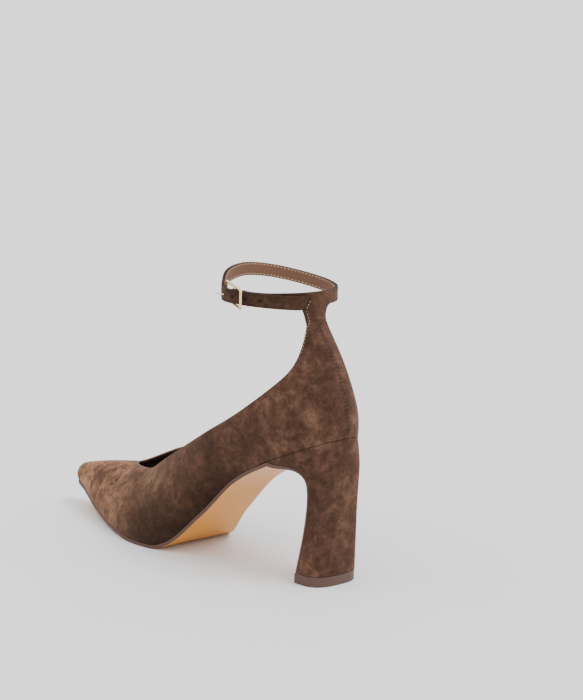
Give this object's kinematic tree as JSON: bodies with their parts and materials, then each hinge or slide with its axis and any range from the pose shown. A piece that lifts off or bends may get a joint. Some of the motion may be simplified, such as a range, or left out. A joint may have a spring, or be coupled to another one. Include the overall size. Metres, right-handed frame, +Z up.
{
  "type": "high heel shoe",
  "caption": "Pointed suede pump with a cut-away front, a neck rising from the counter to a buckled ankle strap, a leather sole and a flared block heel.",
  "frame": {"origin": "centre of the top-lift's rest face, on the floor", "axes": "+X forward from heel to toe, +Y to the outer (lateral) side of this left shoe, +Z up from the floor"},
  "size_m": [0.2483, 0.0764, 0.1723],
  "materials": {
    "suede": "mottled mid-brown suede with a short nap",
    "sole_leather": "smooth tan sole leather, half gloss, with a thin brown edge",
    "lift_rubber": "satin mauve-brown rubber",
    "lining": "smooth brown lining leather",
    "gold": "polished pale gold plating",
    "elastic": "woven dark brown elastic"
  },
  "bodies": {
    "root": {"upper": "suede", "outsole": "sole_leather", "heel": "suede", "top_lift": "lift_rubber", "insole": "lining", "buckle_frame": "gold", "hinge_bar": "gold", "buckle_prong": "gold", "elastic_upper": "elastic", "elastic_lower": "elastic"}
  },
  "joints": []
}
